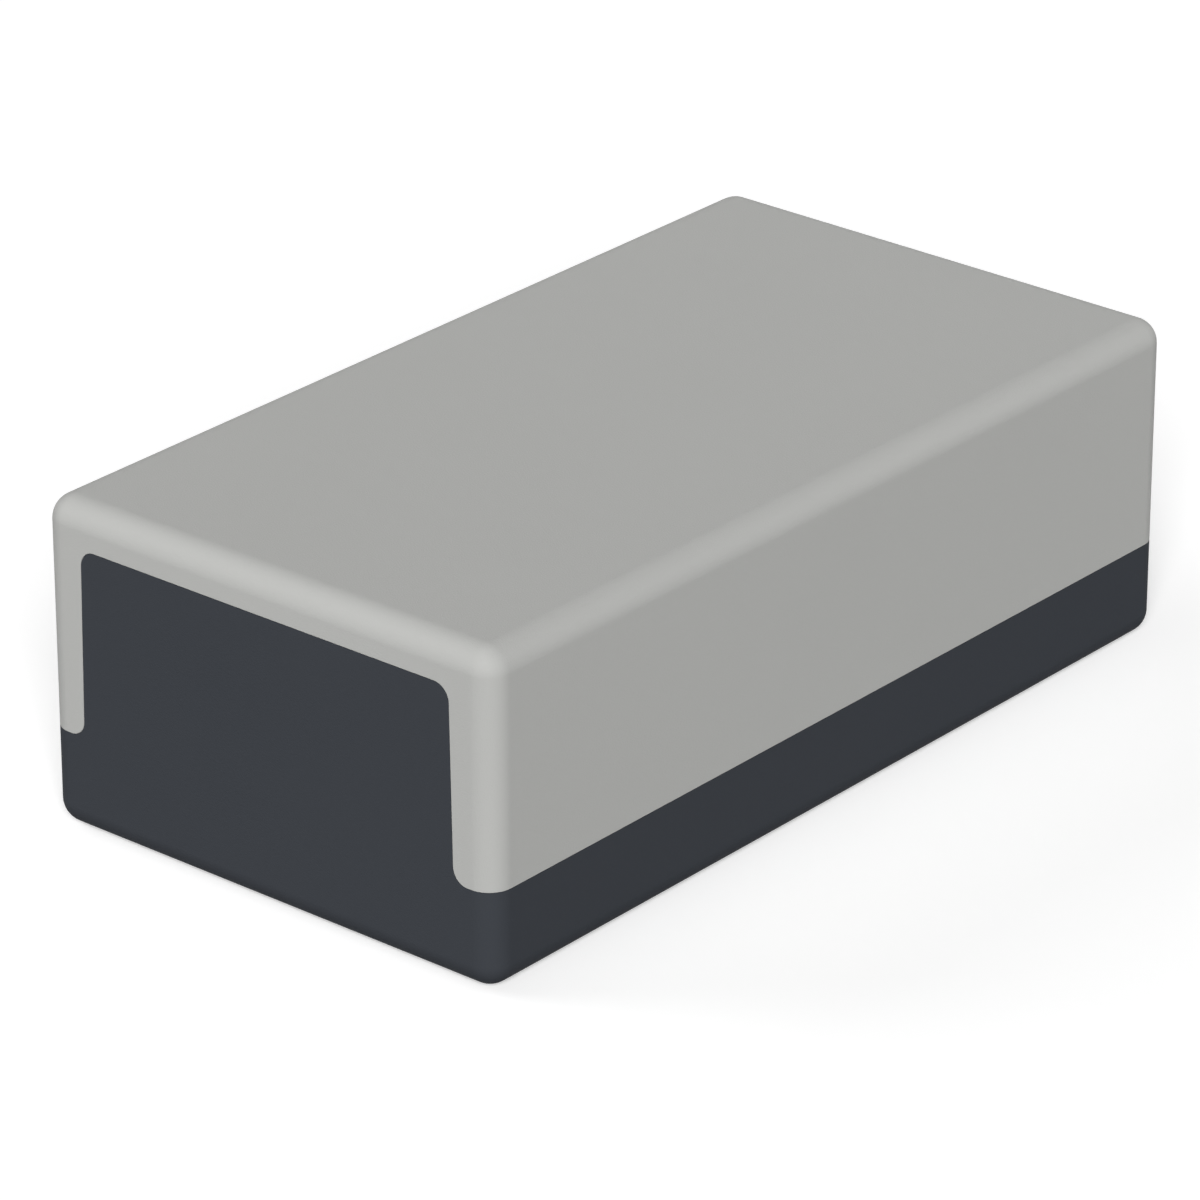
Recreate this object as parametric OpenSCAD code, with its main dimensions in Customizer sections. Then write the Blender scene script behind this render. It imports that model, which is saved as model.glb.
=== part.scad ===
// Two-part plastic project box for a small circuit board.
// The dark base is one moulding with both end walls. The light cover comes down over it and
// is cut out round the end walls, so that they lie flush in its frame as end panels. Four
// screws go up through the corners of the base into bosses that hang from the cover's roof.
// Millimetres, Z up, X across the width, Y along the length. The front end wall is at -Y,
// and the origin is at the middle of the underside.

/* [Box] */
// Length over the end walls
length = 120; // [100:1:200]
// Width over the long sides
width = 65; // [60:1:120]
// Height with the cover on
height = 40; // [32:1:70]
// Thickness of walls, floor and roof
wall = 2.4; // [2:0.1:2.8]
// Radius of the outer edges and corners
edge_r = 3; // [2.6:0.1:4]
// Smallest radius of an inner corner
least_r = 0.2; // [0.1:0.05:0.4]

/* [Parting line] */
// Height of the line where cover and base meet on the long sides
parting_z = 12; // [11:0.5:16]
// Width of the cover's legs beside an end panel, at the parting line
leg_w = 5.5; // [5:0.1:8]
// Height of the cover's band above an end panel
band_h = 5; // [4.8:0.1:8]
// Lean of the end panels' sides, in degrees, so that the cover slides on from above
panel_draft = 1.1; // [0:0.1:2]
// Radius of the end panels' upper corners
panel_r = 2; // [1:0.1:4]
// Radius of the legs' lower inner corners
leg_r = 2; // [1:0.1:3]
// Gap between base and cover along the parting line
seam = 0.05; // [0.02:0.01:0.2]

/* [Lap joint] */
// Reach of the base's tongue behind the cover, past the parting line
tongue_h = 1.6; // [1:0.1:2.2]
// Thickness of the tongue, which is the inner part of the wall
tongue_t = 1.1; // [0.8:0.05:1.3]
// Clearance between the tongue and the rebate in the cover
lap_gap = 0.15; // [0.05:0.05:0.3]

/* [Cover screws] */
// Distance of each screw's axis from the two outer faces at its corner
screw_inset = 7.6; // [7.4:0.1:9]
// Outer diameter of the screw's thread
screw_d = 3; // [2.5:0.1:3.2]
// Depth of the thread, which is cut away here down to the core
thread_depth = 0.3; // [0.2:0.05:0.4]
// Length of the screw below its head
screw_len = 10; // [8:0.5:14]
// Length of the taper at the screw's tip
tip_len = 1.2; // [0.8:0.1:2]
// Diameter of the screw's blunt tip
tip_d = 1.4; // [0.8:0.1:1.6]
// Diameter of the screw's head
head_d = 5.6; // [5:0.1:6]
// Height of the screw's head
head_h = 2.1; // [1.8:0.1:2.6]
// Radius of the head's domed end
head_crown_r = 5; // [4:0.5:8]
// Length of each slot of the cross recess in the head
cross_len = 3.2; // [2.6:0.1:3.6]
// Width of each slot of the cross recess
cross_w = 0.75; // [0.6:0.05:0.9]
// Depth of the cross recess
cross_depth = 1.2; // [0.8:0.1:1.4]

/* [Screw pillars and bosses] */
// Height of the head's seat, which is the depth of the recess in the underside
seat_z = 8; // [6:0.5:9]
// Clearance round the head in its recess
head_gap = 0.3; // [0.2:0.05:0.6]
// Clearance round the thread in the base
shank_gap = 0.2; // [0.1:0.05:0.4]
// Wall of the base's pillars round the recess
pillar_wall = 1.1; // [0.9:0.1:1.5]
// Clearance round the screw's core in the cover's bosses
pilot_gap = 0.05; // [0.03:0.01:0.1]
// Room in the pilot hole past the screw's tip
pilot_room = 2; // [1:0.5:6]
// Wall of the cover's bosses round the pilot hole
boss_wall = 2.15; // [1.6:0.05:2.6]
// Thickness of the webs that tie pillars and bosses to the walls
web_t = 1.4; // [1:0.1:2]
// Draft of posts and bosses, in degrees
post_draft = 0.5; // [0:0.1:1]

/* [Board posts] */
// Distance of the posts' axes from the long sides' outer faces
post_inset_x = 12.5; // [11:0.5:20]
// Distance of the posts' axes from the end walls' outer faces
post_inset_y = 20; // [18:0.5:40]
// Height of the posts above the floor
post_h = 5; // [4:0.5:8]
// Diameter of the posts at the top
post_d = 6; // [5:0.1:7]
// Diameter of the pilot hole in each post
post_hole_d = 2.2; // [1.8:0.1:3]
// Depth of the pilot hole in each post
post_hole_depth = 4; // [2:0.5:5]

/* [Card guides] */
// Number of card slots along each long side
slot_count = 3; // [1:1:3]
// Distance from one card slot to the next
slot_pitch = 30; // [15:1:32]
// Width of a card slot
slot_w = 2; // [1.6:0.1:3]
// Thickness of the rib on each side of a slot
rib_t = 1.2; // [0.8:0.1:1.6]
// Depth of the ribs, from the wall inwards
rib_depth = 1.5; // [1:0.1:2.5]
// Distance that ribs and webs keep from the parting line and from the tongue
rib_gap = 1; // [0.5:0.1:2]

/* [Hidden] */
panel_top_z = height - band_h;
screw_x = width / 2 - screw_inset;
screw_y = length / 2 - screw_inset;
core_d = screw_d - 2 * thread_depth;
recess_d = head_d + 2 * head_gap;
pillar_d = recess_d + 2 * pillar_wall;
pilot_d = core_d + 2 * pilot_gap;
boss_d = pilot_d + 2 * boss_wall;
post_x = width / 2 - post_inset_x;
post_y = length / 2 - post_inset_y;
// Heights from which posts and ribs start inside the floor, and to which they run into the roof
in_floor = wall / 2;
in_roof = height - wall / 2;
// Heights at which ribs and webs of the base end, and those of the cover begin
base_rib_z = parting_z - rib_gap;
cover_rib_z = parting_z + tongue_h + rib_gap;
// How far a cut runs past the face that it opens
past = 1;

$fn = 64;

// Section through a rounded edge: straight up the side, with a quarter round at each end
module rim_section(h, r) {
    translate([0, r]) square([r, h - 2 * r]);
    for (top = [0, 1])
        translate([0, top * h]) mirror([0, top])
            intersection() {
                translate([0, r]) circle(r);
                square(r);
            }
}

// Box with rounded edges and ball corners: a core, four sides and four corners, all of
// which end in the same rim section
module rounded_box(w, l, h, r) {
    core = [w / 2 - r, l / 2 - r];
    translate([-core.x, -core.y, 0]) cube([2 * core.x, 2 * core.y, h]);
    for (turn = [0, 180]) rotate(turn) {
        translate([core.x, core.y, 0]) rotate([90, 0, 0])
            linear_extrude(2 * core.y) rim_section(h, r);
        translate([-core.x, core.y, 0]) rotate([90, 0, 90])
            linear_extrude(2 * core.x) rim_section(h, r);
        for (side = [0, 1])
            translate([(1 - 2 * side) * core.x, core.y, 0]) rotate(90 * side)
                rotate_extrude(angle = 90) rim_section(h, r);
    }
}

// The whole box as a solid whose surface lies at a given depth below the outer one
module skin(depth) {
    translate([0, 0, depth])
        rounded_box(width - 2 * depth, length - 2 * depth, height - 2 * depth,
                    max(edge_r - depth, least_r));
}

// X of the line that runs beside an end panel's side, at a distance out from it, at height z
function panel_side(z, out) =
    width / 2 - leg_w + out / cos(panel_draft) - (z - parting_z) * tan(panel_draft);

// End view of what belongs to the base, grown by g: all below the parting line, and the
// end panel that rises from it. A grown corner keeps its centre, so its radius grows by g
// at the panel's head and shrinks by g at the foot, where the cover's legs are rounded.
module base_outline(g) {
    reach = max(leg_r, g + least_r);
    foot = [panel_side(parting_z + reach, reach), parting_z + reach];
    head = [panel_side(panel_top_z - panel_r, -panel_r), panel_top_z - panel_r];
    square_out = [cos(panel_draft), sin(panel_draft)];
    right = [
        [width, -height],
        [width, parting_z + g],
        [foot.x, parting_z + g],
        foot,
        foot - (reach - g) * square_out,
        head + (panel_r + g) * square_out,
        head,
        [head.x, panel_top_z + g]
    ];
    left = [for (i = [len(right) - 1 : -1 : 0]) [-right[i].x, right[i].y]];
    difference() {
        polygon(concat(right, left));
        for (side = [-1, 1]) translate([side * foot.x, foot.y]) circle(reach - g);
    }
    for (side = [-1, 1]) translate([side * head.x, head.y]) circle(panel_r + g);
}

// The same outline as a solid that runs the whole length and past both end walls
module base_space(g) {
    translate([0, length, 0]) rotate([90, 0, 0]) linear_extrude(2 * length) base_outline(g);
}

// Walls of the base, with the tongue round the rim and round both end panels
module base_shell() {
    difference() {
        union() {
            intersection() {
                skin(0);
                base_space(0);
            }
            intersection() {
                skin(wall - tongue_t);
                base_space(tongue_h);
            }
        }
        skin(wall);
    }
}

// Walls and roof of the cover, with the rebate that takes the base's tongue
module cover_shell() {
    difference() {
        skin(0);
        base_space(seam);
        intersection() {
            skin(wall - tongue_t - lap_gap);
            base_space(tongue_h + lap_gap);
        }
        skin(wall);
    }
}

// Children at the four corners of a rectangle, each mirrored to face its own corner
module at_corners(x, y) {
    for (left = [0, 1], front = [0, 1])
        mirror([left, 0]) mirror([0, front]) translate([x, y, 0]) children();
}

// Web from a screw's axis into the wall of the long side
module wall_web(z0, z1) {
    translate([0, -web_t / 2, z0]) cube([screw_inset - wall / 2, web_t, z1 - z0]);
}

// Pairs of ribs up both long sides, one pair for each card slot
module card_guides(z0, z1) {
    for (side = [0, 1], slot = [0 : slot_count - 1], edge = [-1, 1])
        mirror([side, 0]) translate([
            width / 2 - wall - rib_depth,
            (slot - (slot_count - 1) / 2) * slot_pitch + edge * (slot_w + rib_t) / 2 - rib_t / 2,
            z0
        ])
            cube([rib_depth + wall / 2, rib_t, z1 - z0]);
}

// Pillar in a corner of the base, before its holes are made
module screw_pillar() {
    translate([0, 0, in_floor]) cylinder(d = pillar_d, h = parting_z - in_floor);
    for (turn = [0, 90]) rotate(turn) wall_web(in_floor, base_rib_z);
}

// Recess for a screw's head, and the clearance hole above it
module screw_way() {
    translate([0, 0, -past]) cylinder(d = recess_d, h = seat_z + past);
    cylinder(d = screw_d + 2 * shank_gap, h = parting_z + past);
}

// Post that carries a corner of the circuit board
module board_post() {
    rise = wall + post_h - in_floor;
    translate([0, 0, in_floor])
        cylinder(d1 = post_d + 2 * rise * tan(post_draft), d2 = post_d, h = rise);
}

module base() color([0.24, 0.25, 0.27]) {
    difference() {
        union() {
            base_shell();
            at_corners(screw_x, screw_y) screw_pillar();
            at_corners(post_x, post_y) board_post();
            card_guides(in_floor, base_rib_z);
        }
        at_corners(screw_x, screw_y) screw_way();
        at_corners(post_x, post_y)
            translate([0, 0, wall + post_h - post_hole_depth])
                cylinder(d = post_hole_d, h = post_hole_depth + past);
    }
}

// Boss that hangs from the roof and takes a screw, before its pilot hole is made
module screw_boss() {
    foot_z = parting_z + seam;
    drop = in_roof - foot_z;
    translate([0, 0, foot_z])
        cylinder(d1 = boss_d, d2 = boss_d + 2 * drop * tan(post_draft), h = drop);
    wall_web(cover_rib_z, in_roof);
}

module cover() color([0.69, 0.70, 0.69]) {
    difference() {
        union() {
            cover_shell();
            at_corners(screw_x, screw_y) screw_boss();
            card_guides(cover_rib_z, in_roof);
        }
        at_corners(screw_x, screw_y)
            cylinder(d = pilot_d, h = seat_z + screw_len + pilot_room);
    }
}

// One screw, head down, with the underside of its head at z = 0
module screw() {
    difference() {
        mirror([0, 0, 1]) rotate_extrude() intersection() {
            square([head_d / 2, head_h]);
            translate([0, head_h - head_crown_r]) circle(head_crown_r);
        }
        for (turn = [0, 90]) rotate(turn)
            translate([0, 0, -head_h])
                cube([cross_len, cross_w, 2 * cross_depth], center = true);
    }
    cylinder(d = core_d, h = screw_len - tip_len);
    translate([0, 0, screw_len - tip_len]) cylinder(d1 = core_d, d2 = tip_d, h = tip_len);
}

module cover_screws() color("silver") {
    at_corners(screw_x, screw_y) translate([0, 0, seat_z]) screw();
}

base();
cover();
cover_screws();
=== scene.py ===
"""Looks of the two-part plastic project box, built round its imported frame.

The sections follow the box as it is put together: the dark base, the light cover that
comes down over it, the four screws that hold them together from below, and then the
studio and the camera. Lengths are in metres, in the frame of the CAD model.
"""

import math

import bmesh
import bpy
import numpy as np
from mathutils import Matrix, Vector


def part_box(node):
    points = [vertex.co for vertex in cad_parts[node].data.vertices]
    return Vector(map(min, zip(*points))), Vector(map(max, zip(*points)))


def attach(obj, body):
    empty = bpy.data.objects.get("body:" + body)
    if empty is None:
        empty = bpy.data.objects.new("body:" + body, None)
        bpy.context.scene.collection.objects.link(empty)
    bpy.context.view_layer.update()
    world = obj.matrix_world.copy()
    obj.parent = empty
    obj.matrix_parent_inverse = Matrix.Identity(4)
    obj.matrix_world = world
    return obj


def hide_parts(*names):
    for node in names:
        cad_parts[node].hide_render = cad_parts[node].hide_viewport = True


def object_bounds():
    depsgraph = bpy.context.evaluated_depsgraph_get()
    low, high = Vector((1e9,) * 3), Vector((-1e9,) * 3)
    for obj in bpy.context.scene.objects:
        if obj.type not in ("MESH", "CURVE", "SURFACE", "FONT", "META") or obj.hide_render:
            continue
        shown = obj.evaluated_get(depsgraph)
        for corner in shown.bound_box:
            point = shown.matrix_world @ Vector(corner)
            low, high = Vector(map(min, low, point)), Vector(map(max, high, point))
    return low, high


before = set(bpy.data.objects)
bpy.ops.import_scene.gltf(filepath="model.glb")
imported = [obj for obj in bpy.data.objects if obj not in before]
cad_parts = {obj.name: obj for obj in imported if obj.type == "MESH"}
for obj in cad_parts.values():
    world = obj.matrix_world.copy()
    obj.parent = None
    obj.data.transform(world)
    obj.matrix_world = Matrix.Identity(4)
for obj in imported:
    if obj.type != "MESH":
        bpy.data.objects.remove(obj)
cad_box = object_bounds()

# Base
# The lower shell with both end panels, one injection moulding in charcoal ABS. The steel
# mould was spark-eroded, which leaves an even satin grain. Along the line where base and
# cover meet, the edges are crisp, but never quite sharp.

BOX_EDGE_RADIUS = 0.003
PARTING_EDGE_RADIUS = 0.00006
PARTING_EDGE_FACES = 2
SKIN_THICKNESS = 0.000008
SAME_PLACE = 0.0000001
SHARPEST_SMOOTH_ANGLE = math.radians(35)


def skin_of_box(points):
    """Depth of each point inside the rounded box that both shells form together, and the
    direction out of its skin there. The direction leads to the point from the box that is
    smaller by the edge radius all round, and the depth is the radius less this way. In that
    smaller box there is no direction, and the way to its nearest side is added to depth."""
    low, high = np.array(cad_box)
    from_middle = points - (low + high) / 2
    over = np.abs(from_middle) - (high - low) / 2 + BOX_EDGE_RADIUS
    way = np.sign(from_middle) * np.maximum(over, 0)
    distance = np.linalg.norm(way, axis=1, keepdims=True)
    outward = np.divide(way, distance, out=np.zeros_like(way), where=distance > 0)
    depth = BOX_EDGE_RADIUS - distance[:, 0] - np.minimum(over.max(axis=1), 0)
    return depth, outward


def values_of(items, field, columns=1, kind=float):
    """One field of all vertices, edges, faces or corners of a mesh, a row for each."""
    values = np.empty((len(items), columns), kind)
    items.foreach_get(field, values.ravel())
    return values


def merge_doubles(mesh):
    """Joins the points of a mesh that lie on each other."""
    merged = bmesh.new()
    merged.from_mesh(mesh)
    bmesh.ops.remove_doubles(merged, verts=merged.verts, dist=SAME_PLACE)
    merged.to_mesh(mesh)
    merged.free()


def softened_shell(name, node):
    """Copy of a CAD node whose sharp edges in the box's skin are rounded. The mesh is closed
    triangles, so each edge has two corners, and a corner's number over three is that of its
    triangle. An edge is sharp where its triangles' directions are further apart than the
    sharpest smooth angle. Corners in the skin are then shaded with the skin's own
    direction, and the others with the directions of the larger faces beside them."""
    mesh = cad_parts[node].data.copy()
    mesh.materials.clear()
    merge_doubles(mesh)

    facing = values_of(mesh.polygons, "normal", 3)
    by_edge = np.argsort(values_of(mesh.loops, "edge_index", kind=int).ravel(), kind="stable")
    first, second = (by_edge.reshape(-1, 2) // 3).T
    sharp = (facing[first] * facing[second]).sum(axis=1) < math.cos(SHARPEST_SMOOTH_ANGLE)
    depth = skin_of_box(values_of(mesh.vertices, "co", 3))[0]
    ends = values_of(mesh.edges, "vertices", 2, int)
    rounded = sharp & (depth[ends] < SKIN_THICKNESS).all(axis=1)
    weight = mesh.attributes.new("bevel_weight_edge", "FLOAT", "EDGE")
    weight.data.foreach_set("value", rounded.astype(float))
    mesh.edges.foreach_set("use_edge_sharp", sharp & ~rounded)
    mesh.shade_smooth()

    shell = bpy.data.objects.new(name, mesh)
    bpy.context.scene.collection.objects.link(shell)
    soften = shell.modifiers.new("parting_edges", "BEVEL")
    soften.limit_method = "WEIGHT"
    soften.width = PARTING_EDGE_RADIUS
    soften.segments = PARTING_EDGE_FACES
    flatten = shell.modifiers.new("large_faces", "WEIGHTED_NORMAL")
    flatten.keep_sharp = True
    graph = bpy.context.evaluated_depsgraph_get()
    finished = shell.evaluated_get(graph)
    shell.data = bpy.data.meshes.new_from_object(
        finished, preserve_all_data_layers=True, depsgraph=graph
    )
    shell.data.name = name
    shell.modifiers.clear()
    bpy.data.meshes.remove(mesh)

    normals = values_of(shell.data.corner_normals, "vector", 3)
    corners = values_of(shell.data.loops, "vertex_index", kind=int).ravel()
    depth, outward = skin_of_box(values_of(shell.data.vertices, "co", 3)[corners])
    in_skin = depth < SKIN_THICKNESS
    normals[in_skin] = outward[in_skin]
    shell.data.normals_split_custom_set(normals)
    return shell


def fine_grain_group():
    """Node group for fine, even surfaces. Height is a pebble, noise with two finer octaves.
    Tone and Gloss are slow and fast noise about 0.5, for colour and for roughness. A noise's
    scale is one over its size in metres."""
    group = bpy.data.node_groups.new("fine_grain", "ShaderNodeTree")
    for name in ("Grain size", "Mottle size"):
        group.interface.new_socket(name, in_out="INPUT", socket_type="NodeSocketFloat")
    for name in ("Height", "Tone", "Gloss"):
        group.interface.new_socket(name, in_out="OUTPUT", socket_type="NodeSocketFloat")
    nodes, links = group.nodes, group.links
    inlet = nodes.new("NodeGroupInput")
    outlet = nodes.new("NodeGroupOutput")
    place = nodes.new("ShaderNodeTexCoord").outputs["Object"]

    def noise(size, detail, result):
        per_size = nodes.new("ShaderNodeMath")
        per_size.operation = "DIVIDE"
        per_size.inputs[0].default_value = 1
        texture = nodes.new("ShaderNodeTexNoise")
        texture.inputs["Detail"].default_value = detail
        links.new(inlet.outputs[size], per_size.inputs[1])
        links.new(per_size.outputs[0], texture.inputs["Scale"])
        links.new(place, texture.inputs["Vector"])
        links.new(texture.outputs["Fac"], outlet.inputs[result])

    noise("Grain size", detail=2, result="Height")
    noise("Mottle size", detail=3, result="Tone")
    noise("Grain size", detail=0, result="Gloss")
    return group


fine_grain = fine_grain_group()


def grained_material(name, dark, light, roughness, grain, mottle, relief):
    """Material whose colour runs from dark to light with the grain group's Tone, whose
    roughness runs over the pair of values with its Gloss, and whose bump is its Height
    times relief. Returns the material and its shader."""
    material = bpy.data.materials.new(name)
    material.use_nodes = True
    nodes, links = material.node_tree.nodes, material.node_tree.links
    shader = nodes["Principled BSDF"]
    texture = nodes.new("ShaderNodeGroup")
    texture.node_tree = fine_grain
    texture.inputs["Grain size"].default_value = grain
    texture.inputs["Mottle size"].default_value = mottle
    colour = nodes.new("ShaderNodeMix")
    colour.data_type = "RGBA"
    colour.inputs["A"].default_value = (*dark, 1)
    colour.inputs["B"].default_value = (*light, 1)
    links.new(texture.outputs["Tone"], colour.inputs["Factor"])
    links.new(colour.outputs["Result"], shader.inputs["Base Color"])
    gloss = nodes.new("ShaderNodeMapRange")
    gloss.inputs["To Min"].default_value, gloss.inputs["To Max"].default_value = roughness
    links.new(texture.outputs["Gloss"], gloss.inputs["Value"])
    links.new(gloss.outputs["Result"], shader.inputs["Roughness"])
    bump = nodes.new("ShaderNodeBump")
    bump.inputs["Distance"].default_value = relief
    links.new(texture.outputs["Height"], bump.inputs["Height"])
    links.new(bump.outputs["Normal"], shader.inputs["Normal"])
    return material, shader


SATIN = (0.45, 0.55)
GRAIN_SIZE = 0.00018
GRAIN_DEPTH = 0.00003
MOTTLE_SIZE = 0.02
CHARCOAL_SHEEN = 0.006

charcoal, shader = grained_material(
    "charcoal_abs",
    dark=(0.045, 0.0495, 0.058),
    light=(0.048, 0.0525, 0.061),
    roughness=SATIN,
    grain=GRAIN_SIZE,
    mottle=MOTTLE_SIZE,
    relief=GRAIN_DEPTH,
)
shader.inputs["Specular IOR Level"].default_value = CHARCOAL_SHEEN

base_shell = softened_shell("base_shell", "base")
base_shell.data.materials.append(charcoal)
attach(base_shell, "root")
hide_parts("base")

# Cover
# The upper shell with its frames round the end panels, the same ABS in light grey. It
# comes down over the base, and four screws draw it tight.

LIGHT_GREY_SHEEN = 0.06

light_grey, shader = grained_material(
    "light_grey_abs",
    dark=(0.430, 0.432, 0.4195),
    light=(0.440, 0.442, 0.4295),
    roughness=SATIN,
    grain=GRAIN_SIZE,
    mottle=MOTTLE_SIZE,
    relief=GRAIN_DEPTH,
)
shader.inputs["Specular IOR Level"].default_value = LIGHT_GREY_SHEEN

cover_shell = softened_shell("cover_shell", "cover")
cover_shell.data.materials.append(light_grey)
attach(cover_shell, "root")
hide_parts("cover")

# Cover screws
# Four pan head self-tapping screws, 3 x 10 mm, cold headed from steel wire, with a rolled
# thread and bright zinc plating. They go up through the base's pillars, and their threads
# form their own grooves in the cover's bosses.

SCREW_INSET = 0.0076
SCREW_LENGTH = 0.010
CORE_RADIUS = 0.0012
THREAD_HEIGHT = 0.0003
THREAD_PITCH = 0.00125
THREAD_FLANK = 0.0002
TIP_LENGTH = 0.0012
TIP_RADIUS = 0.0007
HEAD_RADIUS = 0.0028
HEAD_HEIGHT = 0.0021
CROWN_RADIUS = 0.005
RIM_RADIUS = 0.00015
NECK_RADIUS = 0.0002
CROSS_LENGTH = 0.0032
CROSS_WIDTH = 0.00075
CROSS_DEPTH = 0.0012
CROSS_CENTRE = 0.15
CROSS_TAPER = 0.55
ARM_COLUMNS = 4
GAP_COLUMNS = 12
FLOOR_ROWS = 3
DOME_ROWS = 5
RIM_ROWS = 4
NECK_ROWS = 6


def cross_outline(angle):
    """Distance from the axis to the outline of the cross in the head. At an angle off the
    nearest arm's axis, the ray leaves the cross by the arm's end or by its side, whichever
    comes first: half the length over the cosine, or half the width over the sine."""
    off = np.abs((angle + math.pi / 4) % (math.pi / 2) - math.pi / 4)
    return 0.5 / np.maximum(np.cos(off) / CROSS_LENGTH, np.sin(off) / CROSS_WIDTH)


def crown(radius):
    """Height of the head's dome over the seat, negative because the head hangs down: a
    sphere of the crown's radius whose lowest point is the head's end."""
    return CROWN_RADIUS - HEAD_HEIGHT - np.sqrt(CROWN_RADIUS**2 - radius**2)


def screw_columns():
    """Angles of the grid's columns: over each arm of the cross and over each gap, evenly
    spread, so that the corners of the cross are met exactly."""
    corner = math.atan2(CROSS_WIDTH, CROSS_LENGTH)
    arm = np.linspace(-corner, corner, ARM_COLUMNS, endpoint=False)
    gap = np.linspace(corner, math.pi / 2 - corner, GAP_COLUMNS, endpoint=False)
    quarter = np.concatenate([arm, gap])
    return (quarter + np.arange(4)[:, None] * math.pi / 2).ravel()


def head_rows(angle):
    """Radius and height of the head's rows: the floor and the leaning walls of the cross,
    the dome, two quarter rounds at the rim, and the hollow round of the neck. In the cross,
    the radius is a share of its outline, and over the dome it runs on evenly from the
    outline to the rim. Each round goes by the sine and cosine of a turn to 90 degrees."""
    outline = cross_outline(angle)
    all_round = np.ones_like(angle)
    cross_floor = CROSS_DEPTH - HEAD_HEIGHT
    dome_edge = HEAD_RADIUS - RIM_RADIUS
    inner = np.linspace(CROSS_CENTRE, CROSS_TAPER, FLOOR_ROWS)[:, None]
    share = np.linspace(0, 1, DOME_ROWS + 1)[1:, None]
    over_dome = outline + share * (dome_edge - outline)
    turn = np.linspace(0, math.pi / 2, RIM_ROWS + 1)[1:, None]
    rounding = np.linspace(0, math.pi / 2, NECK_ROWS)[:, None]
    radius = [
        inner * outline,
        (CROSS_TAPER + (1 - CROSS_TAPER) * share) * outline,
        over_dome,
        (dome_edge + RIM_RADIUS * np.sin(turn)) * all_round,
        (dome_edge + RIM_RADIUS * np.cos(turn)) * all_round,
        (CORE_RADIUS + NECK_RADIUS * (1 - np.sin(rounding))) * all_round,
    ]
    height = [
        np.full_like(radius[0], cross_floor),
        cross_floor + share * (crown(outline) - cross_floor),
        crown(over_dome),
        (crown(dome_edge) + RIM_RADIUS * (1 - np.cos(turn))) * all_round,
        (RIM_RADIUS * (np.sin(turn) - 1)) * all_round,
        (NECK_RADIUS * (1 - np.cos(rounding))) * all_round,
    ]
    return np.vstack(radius), np.vstack(height)


def shank_rows(angle):
    """Radius and height of the shank's rows. They climb with the thread, one pitch a turn,
    and are held back at the neck and at the tip. Each turn has the ridge's lower foot, its
    crest, its upper foot and the root. The ridge grows over the first turn and fades out
    over the tip's taper."""
    steps = np.array([-THREAD_FLANK, 0, THREAD_FLANK, THREAD_PITCH / 2])
    ridge = np.array([0, THREAD_HEIGHT, 0, 0])
    turns = np.arange(-1, SCREW_LENGTH / THREAD_PITCH + 1)[:, None]
    free = (turns * THREAD_PITCH + steps).reshape(-1, 1) + THREAD_PITCH * angle / (2 * math.pi)
    height = np.clip(free, NECK_RADIUS, SCREW_LENGTH)
    grown = np.clip((height - NECK_RADIUS) / THREAD_PITCH, 0, 1)
    taper = np.clip((height - SCREW_LENGTH + TIP_LENGTH) / TIP_LENGTH, 0, 1)
    core = CORE_RADIUS + (TIP_RADIUS - CORE_RADIUS) * taper
    crest = np.tile(ridge, len(turns))[:, None] * grown * (1 - taper)
    return core + crest, height, len(steps)


def screw_mesh(name, places):
    """Mesh of screws at the given places, each turned by one radian more than the last. Each
    is a closed grid of rows by columns, with a point in the middle of the cross and one at
    the tip. Where the shank's columns close, a row meets the one that is a turn higher.
    Rows that were held back fall together, and are merged."""
    angle = screw_columns()
    head_radius, head_height = head_rows(angle)
    shank_radius, shank_height, rows_a_turn = shank_rows(angle)
    radius = np.vstack([head_radius, shank_radius])
    height = np.vstack([head_height, shank_height])
    rows, columns = radius.shape

    count = len(places)
    turned = angle + np.arange(count)[:, None, None]
    grid = np.broadcast_arrays(radius * np.cos(turned), radius * np.sin(turned), height)
    poles = np.zeros((count, 2, 3))
    poles[:, :, 2] = CROSS_DEPTH - HEAD_HEIGHT, SCREW_LENGTH
    points = np.concatenate([np.stack(grid, axis=3).reshape(count, -1, 3), poles], axis=1)
    points += np.array(places)[:, None]

    row = np.arange(rows)
    index = np.arange(rows * columns).reshape(rows, columns)
    beside = np.roll(index, -1, axis=1)
    climb = np.where(row < len(head_radius), 0, rows_a_turn)
    beside[:, -1] = index[np.minimum(row + climb, rows - 1), 0]
    quads = np.stack([index[:-1], beside[:-1], beside[1:], index[1:]], axis=2).reshape(-1, 4)
    middle = np.full(columns, rows * columns)
    cross_fan = np.stack([middle, beside[0], index[0]], axis=1)
    tip_fan = np.stack([middle + 1, index[-1], beside[-1]], axis=1)
    fans = np.vstack([cross_fan, tip_fan])
    first_point = points.shape[1] * np.arange(count)[:, None, None]
    faces = (quads + first_point).reshape(-1, 4).tolist()
    faces += (fans + first_point).reshape(-1, 3).tolist()

    mesh = bpy.data.meshes.new(name)
    mesh.from_pydata(points.reshape(-1, 3).tolist(), [], faces)
    merge_doubles(mesh)
    mesh.shade_smooth()
    mesh.set_sharp_from_angle(angle=SHARPEST_SMOOTH_ANGLE)
    return mesh


zinc_plate, shader = grained_material(
    "zinc_plated_steel",
    dark=(0.57, 0.58, 0.58),
    light=(0.66, 0.66, 0.63),
    roughness=(0.25, 0.4),
    grain=0.00006,
    mottle=0.0015,
    relief=0.000002,
)
shader.inputs["Metallic"].default_value = 1

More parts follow.
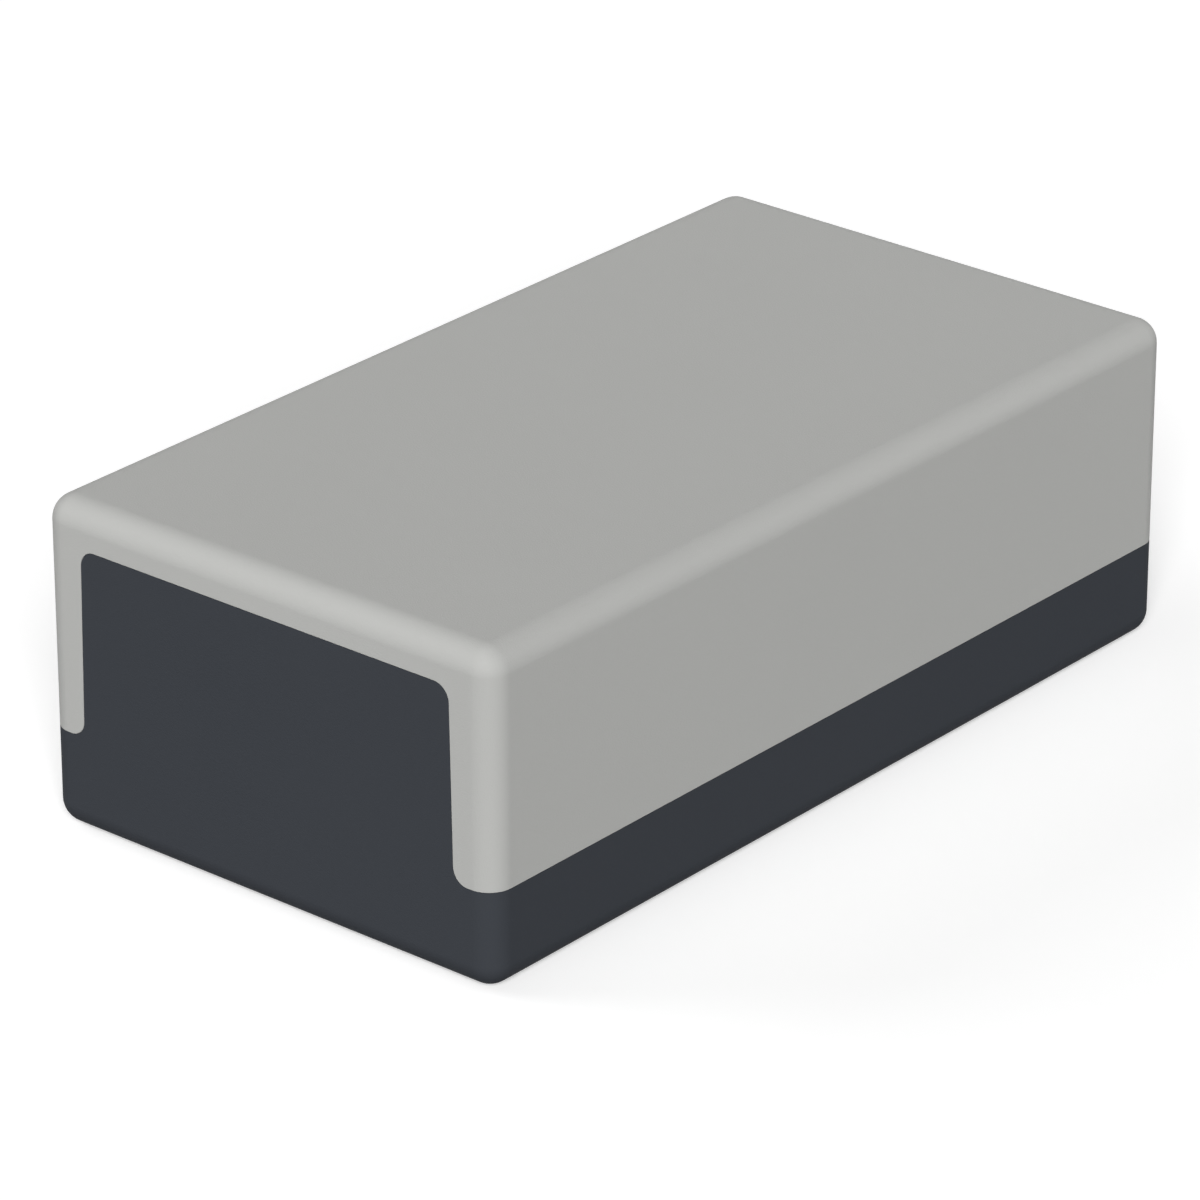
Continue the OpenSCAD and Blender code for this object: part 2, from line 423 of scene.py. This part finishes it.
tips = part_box("cover_screws")[1].z
axis_x = cad_box[1].x - SCREW_INSET
axis_y = cad_box[1].y - SCREW_INSET
seats = [(x, y, tips - SCREW_LENGTH) for x in (-axis_x, axis_x) for y in (-axis_y, axis_y)]
cover_screw_set = bpy.data.objects.new("cover_screw_set", screw_mesh("cover_screw_set", seats))
cover_screw_set.data.materials.append(zinc_plate)
bpy.context.scene.collection.objects.link(cover_screw_set)
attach(cover_screw_set, "root")
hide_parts("cover_screws")

# Studio
# A sheet of white paper under the box, which keeps its shadow and fades to plain white
# further out, a plain white room, and three broad, soft lamps.


def seen_rays(nodes, links):
    """Socket that gives 1 for rays by which the camera sees a surface, straight or in gloss
    or glass, and 0 for those that only light it: the greatest of three flags."""
    path = nodes.new("ShaderNodeLightPath")
    seen = path.outputs["Is Camera Ray"]
    for name in ("Is Glossy Ray", "Is Transmission Ray"):
        either = nodes.new("ShaderNodeMath")
        either.operation = "MAXIMUM"
        links.new(seen, either.inputs[0])
        links.new(path.outputs[name], either.inputs[1])
        seen = either.outputs[0]
    return seen


def studio_floor(name, reach, drop, paper, bounce, lift, fade_from, fade_to):
    """Square sheet of half side reach, drop below z = 0. It looks like paper, lifted by a
    plain glow, and plain white from fade_to outwards; other surfaces get bounce from it."""
    mesh = bpy.data.meshes.new(name)
    corners = reach * np.array([[-1, -1, 0], [1, -1, 0], [1, 1, 0], [-1, 1, 0]]) - [0, 0, drop]
    mesh.from_pydata(corners.tolist(), [], [(0, 1, 2, 3)])
    sheet = bpy.data.objects.new(name, mesh)
    bpy.context.scene.collection.objects.link(sheet)
    material = bpy.data.materials.new(name)
    material.use_nodes = True
    nodes, links = material.node_tree.nodes, material.node_tree.links
    nodes.clear()
    outlet = nodes.new("ShaderNodeOutputMaterial")
    dull = nodes.new("ShaderNodeBsdfDiffuse")
    dull.inputs["Color"].default_value = (bounce, bounce, bounce, 1)
    lit = nodes.new("ShaderNodeBsdfDiffuse")
    lit.inputs["Color"].default_value = (paper, paper, paper, 1)
    glow = nodes.new("ShaderNodeEmission")
    glow.inputs["Strength"].default_value = lift
    white = nodes.new("ShaderNodeEmission")
    near = nodes.new("ShaderNodeAddShader")
    links.new(lit.outputs[0], near.inputs[0])
    links.new(glow.outputs[0], near.inputs[1])
    place = nodes.new("ShaderNodeTexCoord")
    away = nodes.new("ShaderNodeVectorMath")
    away.operation = "LENGTH"
    links.new(place.outputs["Object"], away.inputs[0])
    fade = nodes.new("ShaderNodeMapRange")
    fade.interpolation_type = "SMOOTHSTEP"
    fade.inputs["From Min"].default_value = fade_from
    fade.inputs["From Max"].default_value = fade_to
    links.new(away.outputs["Value"], fade.inputs["Value"])
    shown = nodes.new("ShaderNodeMixShader")
    links.new(fade.outputs["Result"], shown.inputs[0])
    links.new(near.outputs[0], shown.inputs[1])
    links.new(white.outputs[0], shown.inputs[2])
    both = nodes.new("ShaderNodeMixShader")
    links.new(seen_rays(nodes, links), both.inputs[0])
    links.new(dull.outputs[0], both.inputs[1])
    links.new(shown.outputs[0], both.inputs[2])
    links.new(both.outputs[0], outlet.inputs["Surface"])
    mesh.materials.append(material)


studio_floor(
    "floor", reach=4, drop=0.0001, paper=0.9, bounce=0.19, lift=0.3, fade_from=0.12, fade_to=0.4
)

ROOM_LIGHT = 0.078
ROOM_WHITE = 1

room = bpy.data.worlds.new("white_room")
room.use_nodes = True
nodes, links = room.node_tree.nodes, room.node_tree.links
strength = nodes.new("ShaderNodeMapRange")
strength.inputs["To Min"].default_value = ROOM_LIGHT
strength.inputs["To Max"].default_value = ROOM_WHITE
links.new(seen_rays(nodes, links), strength.inputs["Value"])
links.new(strength.outputs["Result"], nodes["Background"].inputs["Strength"])
nodes["Background"].inputs["Color"].default_value = (1, 1, 1, 1)
bpy.context.scene.world = room


def direction(azimuth, elevation):
    """Unit vector towards a point at that azimuth, from -Y towards +X, and elevation."""
    a, e = math.radians(azimuth), math.radians(elevation)
    return Vector((math.sin(a) * math.cos(e), -math.cos(a) * math.cos(e), math.sin(e)))


def soft_lamp(name, azimuth, elevation, spread, level):
    """Far, broad lamp. A white surface that faces it renders at level."""
    lamp = bpy.data.lights.new(name, "SUN")
    lamp.angle = math.radians(spread)
    lamp.energy = math.pi * level
    holder = bpy.data.objects.new(name, lamp)
    holder.rotation_euler = (-direction(azimuth, elevation)).to_track_quat("-Z", "Y").to_euler()
    bpy.context.scene.collection.objects.link(holder)


soft_lamp("key", azimuth=40, elevation=29.5, spread=28, level=1.14)
soft_lamp("fill", azimuth=-68, elevation=30, spread=40, level=0.33)
soft_lamp("rear", azimuth=168, elevation=5, spread=40, level=0.33)

# Camera
# A long lens that looks down on the front right-hand corner without a roll. It stands a
# little to the left and above, so that the box sits in the picture as it should.

CAMERA_AZIMUTH = 40
CAMERA_ELEVATION = 25
CAMERA_DISTANCE = 0.76673
CAMERA_LEFT = 0.002368
CAMERA_ABOVE = 0.014052
LENS_MM = 200
SENSOR_MM = 36

camera = bpy.data.objects.new("camera", bpy.data.cameras.new("camera"))
camera.data.lens = LENS_MM
camera.data.sensor_width = SENSOR_MM
back = direction(CAMERA_AZIMUTH, CAMERA_ELEVATION)
right = direction(CAMERA_AZIMUTH + 90, 0)
up = back.cross(right)
camera.location = back * CAMERA_DISTANCE - right * CAMERA_LEFT + up * CAMERA_ABOVE
camera.rotation_euler = (-back).to_track_quat("-Z", "Y").to_euler()
bpy.context.scene.collection.objects.link(camera)
bpy.context.scene.camera = camera
bpy.context.scene.view_settings.view_transform = "Standard"
